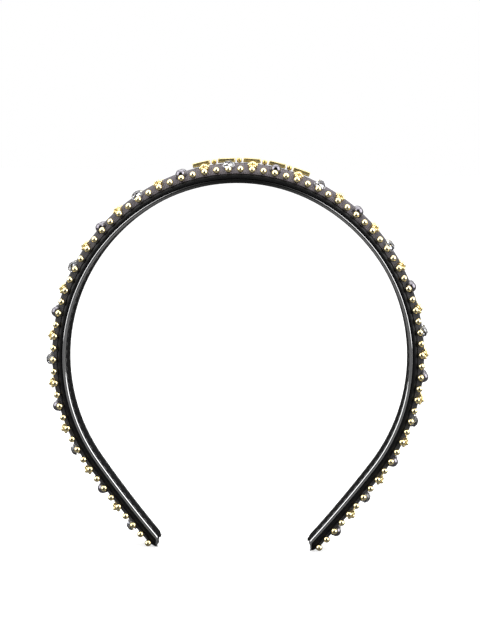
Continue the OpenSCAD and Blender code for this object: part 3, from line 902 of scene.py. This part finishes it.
def make_plate():
    """A plain plate with bevelled edges and a shallow sunk panel."""
    deselect()
    bpy.ops.mesh.primitive_cube_add(
        size=1, location=(0, 0, PLATE_T / 2), scale=(PLATE_L, PLATE_W, PLATE_T))
    plate = named("plate")
    bpy.ops.object.transform_apply(location=True, scale=True)
    finish_with(plate, "BEVEL", width=PLATE_BEVEL, segments=3, limit_method="ANGLE")
    top_faces(plate)
    bpy.ops.mesh.inset(thickness=PLATE_RIM)
    bpy.ops.transform.translate(value=(0, 0, -PANEL_DEEP))
    bpy.ops.mesh.inset(thickness=PANEL_SLOPE)
    bpy.ops.object.mode_set(mode="OBJECT")
    return plate


def make_stud():
    """A round stud with a rolled edge and a low domed top."""
    deselect()
    wall = PLATE_T * STUD_WALL
    bpy.ops.mesh.primitive_cylinder_add(
        vertices=32, radius=STUD_D / 2, depth=wall, location=(0, 0, wall / 2))
    stud = named("stud")
    bpy.ops.object.transform_apply(location=True)
    top_faces(stud)
    bpy.ops.mesh.inset(thickness=STUD_RIM)
    bpy.ops.transform.translate(value=(0, 0, PLATE_T * STUD_CROWN))
    bpy.ops.mesh.inset(thickness=STUD_DOME)
    bpy.ops.transform.translate(value=(0, 0, PLATE_T * (1 - STUD_WALL - STUD_CROWN)))
    bpy.ops.object.mode_set(mode="OBJECT")
    finish_with(
        stud, "BEVEL", width=STUD_BEVEL, segments=2, limit_method="ANGLE",
        angle_limit=math.radians(40))
    return stud


middle = (PLATES - 1) / 2
plate_seats = crown_seats([i - middle for i in range(PLATES)], PLATE_LEANS)
stud_seats = crown_seats([i - middle + 0.5 for i in range(PLATES - 1)], STUD_LEANS)
plates = copies("crown_plates_gilt", make_plate(), plate_seats)
studs = copies("crown_studs_gilt", make_stud(), stud_seats)
for piece, node_name in ((plates, "crown_plates"), (studs, "crown_studs")):
    edit(piece, outsides_out)
    smooth(piece, 35)
    keep(piece, "gilt_plates", plate_gold, node_name)

# ---- Floor, light and camera ----

deselect()
bpy.ops.mesh.primitive_plane_add(size=12, location=(0, 0, 0))
floor = named("floor")
floor_paint, tree, shader, place = finish_of("white_floor", Roughness=0.9, Specular_IOR_Level=0.1)
# the floor looks white, and throws back less light than it shows
seen = add(tree, "ShaderNodeLightPath").outputs["Is Camera Ray"]
paint = between(tree, seen, (0.14, 0.14, 0.14), (0.55, 0.55, 0.55))
tree.links.new(paint, shader.inputs["Base Color"])
shader.inputs["Emission Color"].default_value = (1, 1, 1, 1)
tree.links.new(between(tree, seen, 0.0, 0.6), shader.inputs["Emission Strength"])
dress(floor, floor_paint)


LIT = Vector((0, 0, 0.07))      # the point that every softbox faces


def softbox(name, where, size, power):
    light = bpy.data.lights.new(name, "AREA")
    light.shape, light.size, light.size_y, light.energy = "RECTANGLE", *size, power
    lamp = bpy.data.objects.new(name, light)
    bpy.context.scene.collection.objects.link(lamp)
    lamp.location = where
    lamp.rotation_euler = (LIT - Vector(where)).to_track_quat("-Z", "Y").to_euler()
    lamp.visible_camera = False


softbox("top_softbox", (0.0, 0.25, 1.2), (1.2, 1.0), 9)
softbox("left_softbox", (-0.95, -0.3, 0.48), (1.1, 1.4), 15)
softbox("right_softbox", (0.95, -0.3, 0.48), (1.1, 1.4), 19)

# The room is brightest overhead and dark on the side that the camera stands on
world = bpy.data.worlds.new("studio")
bpy.context.scene.world = world
world.use_nodes = True
tree = world.node_tree
tree.nodes.clear()
look = add(tree, "ShaderNodeTexCoord").outputs["Generated"]
away = add(tree, "ShaderNodeVectorMath", {0: look, 1: (0.0, -1.0, 0.05)}, operation="DOT_PRODUCT")
dusk = add(tree, "ShaderNodeMapRange", {
    "Value": away.outputs["Value"], "From Min": 0.4, "From Max": 0.85,
    "To Min": 1.0, "To Max": 0.03}, interpolation_type="SMOOTHSTEP")
climb = add(tree, "ShaderNodeSeparateXYZ", {0: look}).outputs["Z"]
overhead = add(tree, "ShaderNodeMapRange", {
    "Value": climb, "From Min": 0.0, "From Max": 0.8,
    "To Min": 0.45, "To Max": 1.2}, interpolation_type="SMOOTHSTEP")
bright = sum_of(tree, "MULTIPLY", dusk.outputs[0], overhead.outputs[0])
seen = add(tree, "ShaderNodeLightPath").outputs["Is Camera Ray"]
strength = sum_of(tree, "MAXIMUM", between(tree, seen, 0.0, 1.0), bright)
room = add(tree, "ShaderNodeBackground", {"Color": (1, 1, 1, 1), "Strength": strength})
add(tree, "ShaderNodeOutputWorld", {"Surface": room.outputs[0]})

bpy.context.scene.view_settings.view_transform = "Standard"
bpy.context.scene.view_settings.look = "None"

CAMERA_TURN, CAMERA_RISE, CAMERA_ROLL = 1.8, 6.8, 1.1       # degrees
CAMERA_FAR, LENS = 0.77, 112.55625                          # metres, millimetres
TARGET = Vector((0, 0, 0.072))
AIM_RIGHT, AIM_UP = 0.00061569, 0.0163928       # how far past the target it looks, in metres

turn, climb = math.radians(CAMERA_TURN), math.radians(CAMERA_RISE)
to_camera = Vector((
    math.sin(turn) * math.cos(climb), -math.cos(turn) * math.cos(climb), math.sin(climb)))
right = Vector((math.cos(turn), math.sin(turn), 0))
up = right.cross(-to_camera)
camera_data = bpy.data.cameras.new("camera")
camera_data.sensor_width = 36
camera_data.lens = LENS
camera_data.clip_start, camera_data.clip_end = 0.05, 50
camera = bpy.data.objects.new("camera", camera_data)
bpy.context.scene.collection.objects.link(camera)
camera.location = TARGET + CAMERA_FAR * to_camera
facing = (TARGET + right * AIM_RIGHT + up * AIM_UP - camera.location).to_track_quat("-Z", "Y")
level = Matrix.Rotation(math.radians(CAMERA_ROLL), 3, "Z").to_quaternion()
camera.rotation_mode = "QUATERNION"
camera.rotation_quaternion = facing @ level
bpy.context.scene.camera = camera
